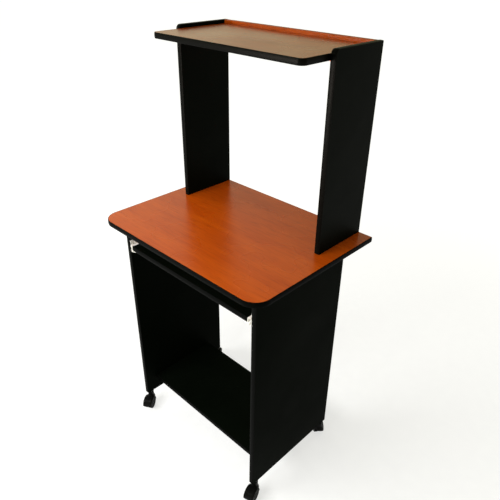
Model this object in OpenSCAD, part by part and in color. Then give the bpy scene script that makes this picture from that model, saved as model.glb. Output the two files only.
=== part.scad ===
// Multi-level computer desk on casters: a desktop on two side panels, a shelf held above it between two
// uprights, a low shelf between the panels, and a keyboard tray that runs out on a pair of roller rails.
// Millimetres. +Z is up and the front faces -Y. The origin is on the floor, under the middle of the desktop.

/* [Desktop] */
// Height of the desktop's upper face above the floor
desk_h = 745; // [720:5:770]
// Overall width of the desktop, edge band to edge band
desk_w = 610; // [600:5:660]
// Overall depth of the desktop
desk_d = 450; // [440:5:470]
// Outer radius of the desktop's two front corners
desk_corner_r = 47; // [30:1:60]

/* [Boards and edge bands] */
// Thickness of every board
board_t = 15; // [15:0.5:18]
// Thickness of the edge band's crown at its middle
band_t = 2; // [1.6:0.1:2.6]
// Thickness of the edge band's crown along its two rims
band_rim_t = 1.1; // [0.8:0.1:1.4]
// Length of the barbed spine that the band pushes into the board's saw kerf
spine_l = 7; // [5:0.5:8]
// Thickness of that spine
spine_t = 1.6; // [1.2:0.1:2.4]

/* [Hutch] */
// Height of the uprights above the desktop
upright_h = 490; // [400:5:560]
// How far the uprights stand in from the desktop's side edges
upright_overhang = 43; // [38:1:55]
// Depth of the uprights, front to back
upright_d = 177; // [165:1:195]
// Outer radius of each upright's upper front corner
upright_corner_r = 12; // [11:0.5:20]
// How far the top shelf's upper face lies below the top of the uprights
shelf_drop = 10; // [5:1:20]
// How far the top shelf stands out in front of the uprights
shelf_reach = 90; // [70:1:110]
// Outer radius of the top shelf's front corners
shelf_corner_r = 15; // [12:1:30]
// Height of the rail across the back of the hutch
hutch_rail_h = 62; // [58:1:80]

/* [Side panels and low shelf] */
// How far the panels stand in from the desktop's side edges
panel_overhang = 43; // [33:1:47]
// How far the panels stand back from the desktop's front edge
panel_setback = 47; // [35:1:60]
// How far the panels stand in from the desktop's back edge, unless the tray needs more depth
panel_back_inset = 61; // [25:1:75]
// Height of the stretcher under the back of the desktop
stretcher_h = 150; // [100:5:200]
// Height of the low shelf's underside above the panels' lower edge
low_shelf_rise = 43; // [40:1:90]
// How far the low shelf stands back from the panels' front edge
low_shelf_setback = 42; // [20:1:60]
// Depth of the low shelf
low_shelf_d = 242; // [220:1:270]

/* [Keyboard tray] */
// Free height between the tray's upper face and the desktop
tray_clear = 72; // [55:1:90]
// Depth of the tray
tray_d = 300; // [280:1:315]
// How far the closed tray stands out in front of the panels
tray_proud = 1; // [0:0.5:5]

/* [Tray rails] */
// Width of the space that a rail pair takes at each end of the tray
rail_space = 12.5; // [12.5:0.1:13.5]
// Length of the rails
rail_l = 300; // [280:1:310]
// Thickness of the rails' steel sheet
sheet_t = 1.2; // [1:0.1:1.3]
// Inner radius of the sheet's bends
bend_r = 0.8; // [0.5:0.1:1.2]
// Height of the cabinet rail's wall above its floor
cabinet_rail_h = 38; // [32:0.5:42]
// Width of the cabinet rail's floor
floor_w = 10.1; // [9.9:0.1:10.3]
// Height of the lip along the floor's free edge
floor_lip = 3.5; // [2.5:0.1:4]
// Width of the flange along the cabinet rail's upper edge
top_flange_w = 5; // [4:0.5:8]
// How far behind the rail's front end that flange starts
top_flange_start = 15; // [10:1:30]
// Depth of the lip that hangs from the tray rail's track
track_lip = 4; // [3:0.1:5]
// Diameter of the rollers
roller_d = 19; // [17:0.5:19.5]
// Length of the lip that holds the tray's track down
hold_down_l = 40; // [20:1:45]
// Width of the tray rail's flange under the tray
flange_w = 12; // [10:1:18]
// Width of the rollers
roller_w = 4.8; // [4.2:0.1:4.9]
// Diameter of the studs that the rollers turn on
stud_d = 4; // [3:0.5:5]
// Distance of each roller's stud from the end of its rail
roller_inset = 14; // [13:0.5:20]
// How far the cabinet rails start behind the front edge of the tray's board
rail_setback = 1; // [0:0.5:4]
// How far the tray rails start behind the face of the tray's band
tray_rail_setback = 0.5; // [0:0.5:2]
// Distance of the outer rail screws from the ends of the rails
rail_screw_inset = 40; // [32:1:60]

/* [Casters] */
// Height of the casters, floor to the panels' lower edge
caster_h = 61; // [58:1:75]
// Diameter of the wheels
wheel_d = 40; // [34:1:44]
// Width of one wheel
wheel_w = 12; // [10:0.5:16]
// Thickness of the hood's web between the two wheels
hood_web = 6; // [5:0.5:10]
// Thickness of the hood's wall over the wheels
hood_wall = 2; // [1.5:0.1:3]
// Distance of the axle behind the swivel axis
caster_trail = 18; // [14:0.5:22]
// Diameter of the hood's neck
neck_d = 20; // [16:0.5:24]
// Diameter of the swivel stem
stem_d = 8; // [7:0.5:8]
// Length of the stem above the panel's lower edge
stem_l = 34; // [28:1:38]
// Wall thickness of the sleeve that the stem turns in
sleeve_wall = 1.4; // [1:0.1:1.5]
// Diameter of the axle
axle_d = 5; // [4:0.5:6]
// Distance of each caster's stem from the panel's front or back edge
caster_inset = 16; // [16:0.5:40]

/* [Fittings] */
// Distance from a board's end to the middle of its cam lock
cam_reach = 34; // [24:1:36]
// Diameter of the cam locks
cam_d = 15; // [12:0.5:15]
// Depth of the cam locks
cam_depth = 12.5; // [11.5:0.1:13]
// Diameter of the cam bolts' heads
bolt_head_d = 7; // [6.5:0.1:7.5]
// Diameter of the cam bolts' shanks
bolt_shank_d = 5; // [4:0.5:5.5]
// Length of the cam bolts' threads
bolt_thread_l = 11; // [9:0.5:12]
// Diameter of the dowels
dowel_d = 8; // [6:0.5:9]
// Length of the dowels
dowel_l = 24; // [18:1:26]
// Distance of the desktop's fittings from the panels' front and back edges
panel_fit_inset = 35; // [32:1:45]
// Distance of the shelves' fittings from their edges
shelf_fit_inset = 30; // [20:1:40]
// Distance of the uprights' lower screws from the uprights' edges
upright_screw_inset = 30; // [20:1:35]
// Length of the screws that hold the uprights
long_screw_l = 50; // [40:1:60]

/* [Hidden] */
$fn = 64;

cherry = [0.80, 0.40, 0.20];
black = [0.09, 0.09, 0.085];
band_black = [0.15, 0.14, 0.13];
rail_white = [0.93, 0.91, 0.87];
nylon_white = [0.96, 0.96, 0.94];
steel = [0.72, 0.72, 0.74];
zinc = [0.62, 0.63, 0.65];
beech = [0.80, 0.66, 0.46];
caster_black = [0.10, 0.10, 0.10];
tyre_black = [0.14, 0.15, 0.14];

// Clearance of pieces that sit in or against each other and don't move
seat = 0.1;
// Radial clearance of a shaft in its running bore
run_fit = 0.05;
// Distance kept between pieces that pass each other
pass_gap = 0.3;
// How far a cutter reaches past a face that it opens
over = 1;
// Least distance between the stretcher and the tray or the rails in front of it
tray_room = 10;

// Heights of the boards
desk_under = desk_h - board_t;
upright_top = desk_h + upright_h;
shelf_top = upright_top - shelf_drop;
low_shelf_z = caster_h + low_shelf_rise;
tray_z = desk_under - tray_clear - board_t;

// Places of the boards from front to back
desk_front = -desk_d / 2;
desk_back = desk_d / 2;
upright_front = desk_back - upright_d;
shelf_front = upright_front - shelf_reach;
hutch_rail_front = desk_back - board_t;
panel_front = desk_front + panel_setback;
tray_front = panel_front - tray_proud;
tray_back = tray_front + tray_d;
rail_front = tray_front + band_t + rail_setback;
rail_back = rail_front + rail_l;
tray_rail_front = tray_front + tray_rail_setback;
panel_back = max(desk_back - panel_back_inset, max(tray_back, rail_back) + tray_room + board_t);
panel_d = panel_back - panel_front;
stretcher_front = panel_back - board_t;
low_shelf_front = panel_front + low_shelf_setback;
low_shelf_back = low_shelf_front + low_shelf_d;

// Half widths
upright_in = desk_w / 2 - upright_overhang - board_t;
panel_in = desk_w / 2 - panel_overhang - board_t;
tray_half = panel_in - rail_space;

// Casters
wheel_r = wheel_d / 2;
flange_t = 1.5;
flange_d = board_t;
neck_top = caster_h - flange_t - pass_gap;
sleeve_d = stem_d + 2 * run_fit + 2 * sleeve_wall;
wheel_side_gap = 0.5;
hood_gap = 1.5;
hood_r = wheel_r + hood_gap + hood_wall;
hood_half = hood_web / 2 + wheel_side_gap + wheel_w;
front_caster_y = panel_front + caster_inset;
rear_caster_y = panel_back - caster_inset;
caster_x = panel_in + board_t / 2;
// Each caster's place and the heading of its trail at rest, counted from +Y
front_left_caster = [-caster_x, front_caster_y, 210];
front_right_caster = [caster_x, front_caster_y, 195];
rear_left_caster = [-caster_x, rear_caster_y, 35];
rear_right_caster = [caster_x, rear_caster_y, 50];

// Edge bands: profiles, and the runs and turns that carry them round a board

// Cross-section of the edge band: outward is +x, and the board's thickness runs along y
module band_profile() {
    sag = band_t - band_rim_t;
    dome_r = (pow(board_t / 2, 2) + sag * sag) / (2 * sag);
    intersection() {
        translate([seat, 0]) square([band_t - seat, board_t]);
        translate([band_t - dome_r, board_t / 2]) circle(dome_r, $fn = 200);
    }
    translate([-spine_l, (board_t - spine_t) / 2]) square([spine_l + 2 * seat, spine_t]);
}

// Cross-section of the saw kerf that takes the band's spine
module kerf_profile() {
    translate([-spine_l - 2 * seat, (board_t - spine_t) / 2 - seat])
        square([spine_l + 2 * seat + over, spine_t + 2 * seat]);
}

// Carries a profile along +X, with its outward side towards -Y
module run(length) {
    mirror([0, 1, 0]) rotate([90, 0, 90]) linear_extrude(length) children();
}

// Carries a profile round a quarter turn of radius r, from -Y to +X
module turn(r) {
    rotate([0, 0, -90]) rotate_extrude(angle = 90) translate([r, 0]) children();
}

// A straight edge, a round corner and a second edge square to it
module corner_path(first, r, second) {
    run(first - r) children();
    translate([first - r, r, 0]) turn(r) children();
    translate([first, r, 0]) rotate([0, 0, 90]) run(second - r) children();
}

// The front edge and both side edges of a board that is centred on x
module front_and_sides_path(w, d, r) {
    for (side = [0, 1])
        mirror([side, 0, 0]) corner_path(w / 2, r, d) children();
}

// Stands a flat board up: its x turns to +Z, and its thickness runs from 0 to -X
module stand_up() {
    rotate([0, -90, 0]) children();
}

// Outline of a board centred on x, from y = 0 to d, with its two front corners rounded
module front_rounded(w, d, r) {
    translate([-w / 2 + r, 0]) square([w - 2 * r, d]);
    translate([-w / 2, r]) square([w, d - r]);
    for (side = [-1, 1])
        translate([side * (w / 2 - r), r]) circle(r);
}

// Fittings: a local frame with +Z along the fitting and +X towards the cam's open face

module placed(at, along, face) {
    third = cross(along, face);
    multmatrix([[face.x, third.x, along.x, at.x],
                [face.y, third.y, along.y, at.y],
                [face.z, third.z, along.z, at.z]]) children();
}

rail_fit_inset = 22;
hutch_rail_mid = desk_back - board_t / 2;

// Each site is a point on the board that takes the bolt, the direction into the board that it holds,
// and the side of that board where the cam opens
function desk_sites(side) =
    [for (y = [panel_front + panel_fit_inset, panel_back - panel_fit_inset])
        [[side * caster_x, y, desk_under], [0, 0, -1], [-side, 0, 0]]];
function low_shelf_sites(side) =
    [for (y = [low_shelf_front + shelf_fit_inset, low_shelf_back - shelf_fit_inset])
        [[side * panel_in, y, low_shelf_z + board_t / 2], [-side, 0, 0], [0, 0, -1]]];
function stretcher_sites(side) =
    [for (z = [desk_under - stretcher_h + shelf_fit_inset, desk_under - shelf_fit_inset])
        [[side * panel_in, stretcher_front + board_t / 2, z], [-side, 0, 0], [0, 1, 0]]];
function top_shelf_sites(side) =
    [for (y = [upright_front + shelf_fit_inset, hutch_rail_front - shelf_fit_inset])
        [[side * upright_in, y, shelf_top - board_t / 2], [-side, 0, 0], [0, 0, -1]]];
function hutch_rail_sites(side) =
    [[[side * upright_in, hutch_rail_mid, upright_top - hutch_rail_h + rail_fit_inset],
      [-side, 0, 0], [0, 1, 0]]];

both = [-1, 1];
function joined(lists) = [for (list = lists) for (item = list) item];
panel_bolt_sites = joined([for (s = both) concat(low_shelf_sites(s), stretcher_sites(s))]);
upright_bolt_sites = joined([for (s = both) concat(top_shelf_sites(s), hutch_rail_sites(s))]);
all_desk_sites = joined([for (s = both) desk_sites(s)]);
all_sites = concat(all_desk_sites, panel_bolt_sites, upright_bolt_sites);

// Each dowel site is the dowel's middle, in the plane where two boards meet, and its direction
function low_shelf_dowel(side) =
    [[side * panel_in, (low_shelf_front + low_shelf_back) / 2, low_shelf_z + board_t / 2],
     [1, 0, 0], [0, 0, 1]];
function top_shelf_dowel(side) =
    [[side * upright_in, (upright_front + hutch_rail_front) / 2, shelf_top - board_t / 2],
     [1, 0, 0], [0, 0, 1]];
function hutch_rail_dowel(side) =
    [[side * upright_in, hutch_rail_mid, upright_top - rail_fit_inset], [1, 0, 0], [0, 0, 1]];
panel_dowels = [for (s = both) low_shelf_dowel(s)];
upright_dowels = [for (s = both) each [top_shelf_dowel(s), hutch_rail_dowel(s)]];

thread_d = 6;
cam_hole_gap = 0.5;
dowel_hole_extra = 1;
cam_recess = 0.3;

module bolt_pilots(sites) {
    for (s = sites) placed(s[0], s[1], s[2])
        translate([0, 0, -bolt_thread_l - over])
            cylinder(d = thread_d + 2 * seat, h = bolt_thread_l + 2 * over);
}

module cam_pockets(sites) {
    for (s = sites) placed(s[0], s[1], s[2]) {
        translate([0, 0, -over]) cylinder(d = bolt_head_d + 2 * cam_hole_gap, h = cam_reach + over);
        translate([board_t / 2 - cam_depth - cam_recess - seat, 0, cam_reach]) rotate([0, 90, 0])
            cylinder(d = cam_d + 2 * seat, h = cam_depth + cam_recess + seat + over);
    }
}

module dowel_holes(sites) {
    for (s = sites) placed(s[0], s[1], s[2])
        cylinder(d = dowel_d + 2 * seat, h = dowel_l + 2 * dowel_hole_extra, center = true);
}

// One cam bolt: thread in the first board, collar on its face, shank and head in the second
module cam_bolt() {
    collar_t = 1.2;
    head_t = 3;
    translate([0, 0, -bolt_thread_l]) cylinder(d = thread_d, h = bolt_thread_l + seat);
    translate([0, 0, seat]) cylinder(d = bolt_head_d, h = collar_t);
    cylinder(d = bolt_shank_d, h = cam_reach);
    translate([0, 0, cam_reach - head_t / 2]) cylinder(d = bolt_head_d, h = head_t);
}

// One cam lock: a zinc drum with a mouth for the bolt's head and a cross recess in its face
module cam_lock() {
    recess_w = 2;
    recess_l = 8;
    recess_t = 3;
    face_x = board_t / 2 - cam_recess;
    difference() {
        translate([face_x - cam_depth, 0, cam_reach]) rotate([0, 90, 0]) cylinder(d = cam_d, h = cam_depth);
        cylinder(d = bolt_head_d + 2 * seat, h = cam_reach + bolt_head_d / 2);
        for (turned = [45, 135])
            translate([face_x - recess_t, 0, cam_reach]) rotate([turned, 0, 0])
                translate([0, -recess_w / 2, -recess_l / 2]) cube([recess_t + over, recess_w, recess_l]);
    }
}

// One dowel with chamfered ends
module dowel() {
    chamfer = 1;
    rotate_extrude() polygon([
        [0, -dowel_l / 2], [dowel_d / 2 - chamfer, -dowel_l / 2], [dowel_d / 2, -dowel_l / 2 + chamfer],
        [dowel_d / 2, dowel_l / 2 - chamfer], [dowel_d / 2 - chamfer, dowel_l / 2], [0, dowel_l / 2]]);
}

module cam_bolts() {
    color(steel) for (s = all_sites) placed(s[0], s[1], s[2]) cam_bolt();
}

module cam_locks() {
    color(zinc) for (s = all_sites) placed(s[0], s[1], s[2]) cam_lock();
}

module dowels() {
    color(beech) for (s = concat(panel_dowels, upright_dowels)) placed(s[0], s[1], s[2]) dowel();
}

// Screws that come up through the desktop into the uprights
long_screw_d = 5;
long_head_d = 9.5;
long_head_t = 3;
function upright_screw_places(side) =
    [for (y = [upright_front + upright_screw_inset, desk_back - upright_screw_inset])
        [side * (upright_in + board_t / 2), y, desk_under]];
all_upright_screws = joined([for (s = both) upright_screw_places(s)]);

module upright_screws() {
    tip = 4;
    tip_d = 1;
    recess_l = 4.4;
    recess_w = 1.2;
    recess_t = 1.6;
    color(steel) for (at = all_upright_screws) translate(at) difference() {
        union() {
            cylinder(d1 = long_head_d, d2 = long_screw_d, h = long_head_t);
            cylinder(d = long_screw_d, h = long_screw_l - tip);
            translate([0, 0, long_screw_l - tip]) cylinder(d1 = long_screw_d, d2 = tip_d, h = tip);
        }
        for (turned = [0, 90])
            rotate([0, 0, turned]) translate([-recess_l / 2, -recess_w / 2, -over])
                cube([recess_l, recess_w, over + recess_t]);
    }
}

module upright_screw_holes() {
    for (at = all_upright_screws) translate(at) {
        translate([0, 0, -over]) cylinder(d = long_screw_d + 2 * seat, h = long_screw_l + over + seat);
        translate([0, 0, -over]) cylinder(d = long_head_d + 2 * seat, h = over + seat);
        translate([0, 0, seat])
            cylinder(d1 = long_head_d + 2 * seat, d2 = long_screw_d + 2 * seat, h = long_head_t);
    }
}

// The desktop: a laminated board with a band round its front and sides
core_w = desk_w - 2 * band_t;
core_r = desk_corner_r - band_t;

module desktop() {
    color(cherry) difference() {
        translate([0, desk_front + band_t, desk_under]) difference() {
            linear_extrude(board_t) front_rounded(core_w, desk_d - band_t, core_r);
            front_and_sides_path(core_w, desk_d, core_r) kerf_profile();
        }
        bolt_pilots(all_desk_sites);
        upright_screw_holes();
    }
}

module desktop_band() {
    color(band_black) translate([0, desk_front + band_t, desk_under])
        front_and_sides_path(core_w, desk_d - band_t, core_r) band_profile();
}

// The side panels: black laminated boards with a band down the front edge
panel_h = desk_under - caster_h;

module panel_blank() {
    translate([0, panel_front + band_t, caster_h]) stand_up() difference() {
        cube([panel_h - seat, panel_d - band_t, board_t]);
        translate([-over, 0, 0]) run(panel_h + 2 * over) kerf_profile();
    }
}

module side_panel(side) {
    color(black) difference() {
        translate([side * panel_in + (side > 0 ? board_t : 0), 0, 0]) panel_blank();
        bolt_pilots(panel_bolt_sites);
        cam_pockets(all_desk_sites);
        dowel_holes(panel_dowels);
        for (y = [front_caster_y, rear_caster_y])
            translate([side * caster_x, y, caster_h - over])
                cylinder(d = sleeve_d + 2 * seat, h = sleeve_l + over + seat);
        for (y = rail_screw_y)
            translate([side * panel_in, y, tray_z + rail_screw_z]) rotate([0, 90, 0])
                cylinder(d = small_screw_d + 2 * seat, h = 2 * (small_screw_l - sheet_t + seat),
                         center = true);
    }
}

module left_side_panel() { side_panel(-1); }
module right_side_panel() { side_panel(1); }

module panel_band(side) {
    color(band_black) translate([side * panel_in + (side > 0 ? board_t : 0), panel_front + band_t, caster_h])
        stand_up() run(panel_h - seat) band_profile();
}

module left_panel_band() { panel_band(-1); }
module right_panel_band() { panel_band(1); }

// The stretcher under the back of the desktop, between the panels
module rear_stretcher() {
    color(black) difference() {
        translate([-panel_in + seat, stretcher_front, desk_under - stretcher_h])
            cube([2 * (panel_in - seat), board_t, stretcher_h - seat]);
        cam_pockets(panel_bolt_sites);
    }
}

// The low shelf between the panels
module low_shelf() {
    color(black) difference() {
        translate([-panel_in + seat, low_shelf_front + band_t, low_shelf_z])
            cube([2 * (panel_in - seat), low_shelf_d - band_t, board_t]);
        translate([-panel_in - over, low_shelf_front + band_t, low_shelf_z])
            run(2 * (panel_in + over)) kerf_profile();
        cam_pockets(panel_bolt_sites);
        dowel_holes(panel_dowels);
    }
}

module low_shelf_band() {
    color(band_black) translate([-panel_in + seat, low_shelf_front + band_t, low_shelf_z])
        run(2 * (panel_in - seat)) band_profile();
}

// The uprights: black boards with a band up the front, round the upper corner and along the top
upright_core_h = upright_h - band_t;
upright_core_d = upright_d - band_t;
upright_core_r = upright_corner_r - band_t;

module upright_outline() {
    square([upright_core_h - upright_core_r, upright_core_d]);
    translate([0, upright_core_r]) square([upright_core_h, upright_core_d - upright_core_r]);
    translate([upright_core_h - upright_core_r, upright_core_r]) circle(upright_core_r);
}

module upright(side) {
    color(black) difference() {
        translate([side * upright_in + (side > 0 ? board_t : 0), upright_front + band_t, desk_h])
            stand_up() difference() {
                translate([seat, 0, 0]) linear_extrude(board_t) upright_outline_from(seat);
                translate([-over, 0, 0])
                    corner_path(upright_core_h + over, upright_core_r, upright_d) kerf_profile();
            }
        bolt_pilots(upright_bolt_sites);
        dowel_holes(upright_dowels);
        upright_screw_holes();
    }
}

// The same outline, shortened by the gap under the upright's lower end
module upright_outline_from(gap) {
    intersection() {
        translate([-gap, 0]) upright_outline();
        square([upright_h, upright_d]);
    }
}

module left_upright() { upright(-1); }
module right_upright() { upright(1); }

module upright_band(side) {
    color(band_black)
        translate([side * upright_in + (side > 0 ? board_t : 0), upright_front + band_t, desk_h + seat])
            stand_up() corner_path(upright_core_h - seat, upright_core_r, upright_core_d) band_profile();
}

module left_upright_band() { upright_band(-1); }
module right_upright_band() { upright_band(1); }

// The top shelf: its back part fills the space between the uprights, its front part stands out from them,
// and its band ends at the front edges of the uprights' boards
shelf_core_w = 2 * (upright_in - seat) - 2 * band_t;
shelf_core_r = shelf_corner_r - band_t;
shelf_out = upright_front - shelf_front;

module top_shelf() {
    color(cherry) difference() {
        translate([0, shelf_front + band_t, shelf_top - board_t]) difference() {
            union() {
                linear_extrude(board_t) front_rounded(shelf_core_w, shelf_out + over, shelf_core_r);
                translate([-upright_in + seat, shelf_out, 0])
                    cube([2 * (upright_in - seat), hutch_rail_front - seat - shelf_front - band_t - shelf_out,
                          board_t]);
            }
            front_and_sides_path(shelf_core_w, shelf_out, shelf_core_r) kerf_profile();
        }
        cam_pockets(upright_bolt_sites);
        dowel_holes(upright_dowels);
    }
}

module top_shelf_band() {
    color(band_black) translate([0, shelf_front + band_t, shelf_top - board_t])
        front_and_sides_path(shelf_core_w, shelf_out - seat, shelf_core_r) band_profile();
}

// The rail across the back of the hutch: it stands behind the shelf and ends level with the uprights
module hutch_rail() {
    color(cherry) difference() {
        translate([-upright_in + seat, hutch_rail_front, upright_top - hutch_rail_h])
            cube([2 * (upright_in - seat), board_t, hutch_rail_h - band_t]);
        translate([-upright_in - over, 0, 0]) hutch_rail_edge() run(2 * (upright_in + over)) kerf_profile();
        cam_pockets(upright_bolt_sites);
        dowel_holes(upright_dowels);
    }
}

// Lays an edge run on the rail's upper edge, with its outward side up
module hutch_rail_edge() {
    translate([0, hutch_rail_front, upright_top - band_t]) rotate([-90, 0, 0]) children();
}

// The band along the rail's upper edge, in the colour of the board
module hutch_rail_band() {
    color(cherry) translate([-upright_in + seat, 0, 0])
        hutch_rail_edge() run(2 * (upright_in - seat)) band_profile();
}

// The keyboard tray, carried by a rail at each end: the lower edges of its ends are eased to clear the
// inside of the rails' bends
module keyboard_tray() {
    core_front = tray_front + band_t;
    color(black) difference() {
        translate([-tray_half, core_front, tray_z]) cube([2 * tray_half, tray_d - band_t, board_t]);
        translate([-tray_half - over, core_front, tray_z]) run(2 * (tray_half + over)) kerf_profile();
        for (s = both) at_rail(s)
            along_y(core_front - over, tray_d + 2 * over) translate([rail_space, 0]) rotate(45)
                square(sqrt(2) * bend_r, center = true);
        for (s = both, y = rail_screw_y)
            translate([s * (panel_in - rail_space - flange_w / 2), y, tray_z])
                cylinder(d = small_screw_d + 2 * seat, h = 2 * small_screw_l, center = true);
    }
}

module keyboard_tray_band() {
    color(band_black) translate([-tray_half, tray_front + band_t, tray_z])
        run(2 * tray_half) band_profile();
}

// Rails: a local frame with x from the panel's inner face towards the tray, z from the tray's underside
track_x = 2.2;
track_gap = 0.5;
roller_side_gap = 0.2;
wall_x = rail_space - seat - sheet_t;
track_top = board_t;
track_under = track_top - sheet_t;
roller_r = roller_d / 2;
roller_x = track_x + sheet_t + track_gap;
roller_z = track_under - pass_gap - roller_r;
floor_top = roller_z - roller_r - pass_gap;
floor_z = floor_top - sheet_t;
stud_reach = roller_x + roller_w + roller_side_gap;
stud_start = roller_x - roller_side_gap;
front_roller_y = rail_front + roller_inset;
rear_roller_y = rail_back - roller_inset;
boss_rim = 1.5;
boss_d = stud_d + 2 * boss_rim;
stud_head_rim = 1.25;
stud_head_d = stud_d + 2 * stud_head_rim;
stud_head_t = 0.9;
hold_down_w = 8;
hold_down_y = front_roller_y + roller_r + 4;
small_screw_d = 3.5;
small_screw_l = 12;
small_head_d = 7;
small_head_t = 1;
small_head_slope = 1;
rail_screw_z = (track_top + floor_z + cabinet_rail_h) / 2;
rail_screw_y = [rail_front + rail_screw_inset, (rail_front + rail_back) / 2,
                rail_back - rail_screw_inset];

// Puts the left-hand rail parts at the left or right end of the tray
module at_rail(side) {
    mirror([side > 0 ? 1 : 0, 0, 0]) translate([-panel_in, 0, tray_z]) children();
}

module along_y(from, length) {
    translate([0, from + length, 0]) rotate([90, 0, 0]) linear_extrude(length) children();
}

// Flat legs of a bent sheet's cross-section, and the quarter ring that joins two of them round a centre
module leg_x(from, to, z) {
    translate([from, z]) square([to - from, sheet_t]);
}

module leg_z(x, from, to) {
    translate([x, from]) square([sheet_t, to - from]);
}

module bend(centre, turned) {
    outer = bend_r + sheet_t;
    translate(centre) rotate(turned) intersection() {
        difference() {
            circle(outer);
            circle(bend_r);
        }
        square(outer);
    }
}

// The rail screwed to the panel: a wall with a floor for the tray's roller, a stiffening flange on top,
// a lip that holds the tray's track down, and the riveted stud of the front roller
module cabinet_rail(side) {
    corner = sheet_t + bend_r;
    top = floor_z + cabinet_rail_h;
    lip_x = seat + floor_w - sheet_t;
    color(rail_white) at_rail(side) {
        difference() {
            union() {
                along_y(rail_front, rail_l) {
                    leg_z(seat, floor_z + corner, top - corner);
                    bend([seat + corner, floor_z + corner], 180);
                    leg_x(seat + corner, lip_x - bend_r, floor_z);
                    bend([lip_x - bend_r, floor_z + corner], 270);
                    leg_z(lip_x, floor_z + corner, floor_z + floor_lip);
                }
                along_y(rail_front + top_flange_start, rail_l - top_flange_start) {
                    bend([seat + corner, top - corner], 90);
                    leg_x(seat + corner, seat + top_flange_w, top - sheet_t);
                }
                along_y(hold_down_y, hold_down_l)
                    leg_x(seat + sheet_t / 2, hold_down_w, track_top + pass_gap);
            }
            for (y = rail_screw_y)
                translate([0, y, rail_screw_z]) rotate([0, 90, 0])
                    cylinder(d = small_screw_d + 2 * seat, h = seat + sheet_t + over);
        }
        translate([seat + sheet_t, front_roller_y, roller_z]) rotate([0, 90, 0]) {
            translate([0, 0, -sheet_t / 2]) cylinder(d = stud_d, h = stud_reach - seat - sheet_t / 2);
            cylinder(d = boss_d, h = stud_start - seat - sheet_t);
        }
        translate([stud_reach, front_roller_y, roller_z]) rotate([0, 90, 0])
            cylinder(d = stud_head_d, h = stud_head_t);
    }
}

module left_cabinet_rail() { cabinet_rail(-1); }
module right_cabinet_rail() { cabinet_rail(1); }

// The rail that carries the tray: a flange under the board, a wall on its end, and a track level with
// the board's upper face that rests on the front roller
module tray_rail(side) {
    corner = sheet_t + bend_r;
    under = -seat - sheet_t;
    color(rail_white) at_rail(side) {
        difference() {
            along_y(tray_rail_front, rail_back - tray_rail_front) {
                leg_x(wall_x + corner, wall_x + sheet_t + flange_w, under);
                bend([wall_x + corner, under + corner], 180);
                leg_z(wall_x, under + corner, track_top - corner);
                bend([wall_x - bend_r, track_top - corner], 0);
                leg_x(track_x + corner, wall_x - bend_r, track_under);
                bend([track_x + corner, track_top - corner], 90);
                leg_z(track_x, track_top - track_lip, track_top - corner);
            }
            for (y = rail_screw_y)
                translate([rail_space + flange_w / 2, y, under - over])
                    cylinder(d = small_screw_d + 2 * seat, h = sheet_t + 2 * over);
        }
        translate([wall_x, rear_roller_y, roller_z]) rotate([0, -90, 0]) {
            translate([0, 0, -sheet_t / 2]) cylinder(d = stud_d, h = wall_x - stud_start + sheet_t / 2);
            cylinder(d = boss_d, h = wall_x - stud_reach);
        }
        translate([stud_start - stud_head_t, rear_roller_y, roller_z]) rotate([0, 90, 0])
            cylinder(d = stud_head_d, h = stud_head_t);
    }
}

module left_tray_rail() { tray_rail(-1); }
module right_tray_rail() { tray_rail(1); }

// A nylon roller with rounded rims and a running bore
module roller(side, y) {
    rim = 0.6;
    bore_r = stud_d / 2 + run_fit;
    color(nylon_white) at_rail(side) translate([roller_x, y, roller_z]) rotate([0, 90, 0])
        rotate_extrude() polygon([
            [bore_r, 0], [roller_r - rim, 0], [roller_r, rim],
            [roller_r, roller_w - rim], [roller_r - rim, roller_w], [bore_r, roller_w]]);
}

module left_front_roller() { roller(-1, front_roller_y); }
module right_front_roller() { roller(1, front_roller_y); }
module left_rear_roller() { roller(-1, rear_roller_y); }
module right_rear_roller() { roller(1, rear_roller_y); }

// One small screw with a low head: the head's seat is at z = 0 and the point looks along +Z
module small_screw() {
    tip = 2;
    tip_d = 0.8;
    recess_l = 3;
    recess_w = 0.8;
    recess_t = 1.2;
    difference() {
        union() {
            translate([0, 0, -small_head_t])
                cylinder(d1 = small_head_d - 2 * small_head_slope, d2 = small_head_d, h = small_head_t);
            cylinder(d = small_screw_d, h = small_screw_l - tip);
            translate([0, 0, small_screw_l - tip]) cylinder(d1 = small_screw_d, d2 = tip_d, h = tip);
        }
        for (turned = [0, 90])
            rotate([0, 0, turned]) translate([-recess_l / 2, -recess_w / 2, -small_head_t - over])
                cube([recess_l, recess_w, over + recess_t]);
    }
}

module cabinet_rail_screws() {
    color(steel) for (s = both) at_rail(s) for (y = rail_screw_y)
        translate([seat + sheet_t, y, rail_screw_z]) rotate([0, -90, 0]) small_screw();
}

module tray_rail_screws() {
    color(steel) for (s = both) at_rail(s) for (y = rail_screw_y)
        translate([rail_space + flange_w / 2, y, -seat - sheet_t]) small_screw();
}

// Casters: a local frame on the floor under the stem, with the axle at y = caster_trail
sleeve_l = stem_l + 2;
hub_recess = 2.5;
hub_cap_rim = 1.5;
hub_cap_d = axle_d + 2 * hub_cap_rim;
hub_cap_t = 1.5;
stem_in_hood = 16;

module at_caster(place) {
    translate([place[0], place[1], 0]) rotate([0, 0, place[2]]) children();
}

module at_axle() {
    translate([0, caster_trail, wheel_r]) rotate([0, 90, 0]) children();
}

// The steel sleeve that is pressed into the panel's lower edge
module sleeve(place) {
    color(zinc) translate([place[0], place[1], 0]) difference() {
        union() {
            translate([0, 0, caster_h]) cylinder(d = sleeve_d, h = sleeve_l);
            translate([0, 0, caster_h - flange_t]) cylinder(d = flange_d, h = flange_t);
        }
        translate([0, 0, caster_h - flange_t - over])
            cylinder(d = stem_d + 2 * run_fit, h = sleeve_l + flange_t + 2 * over);
    }
}

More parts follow.
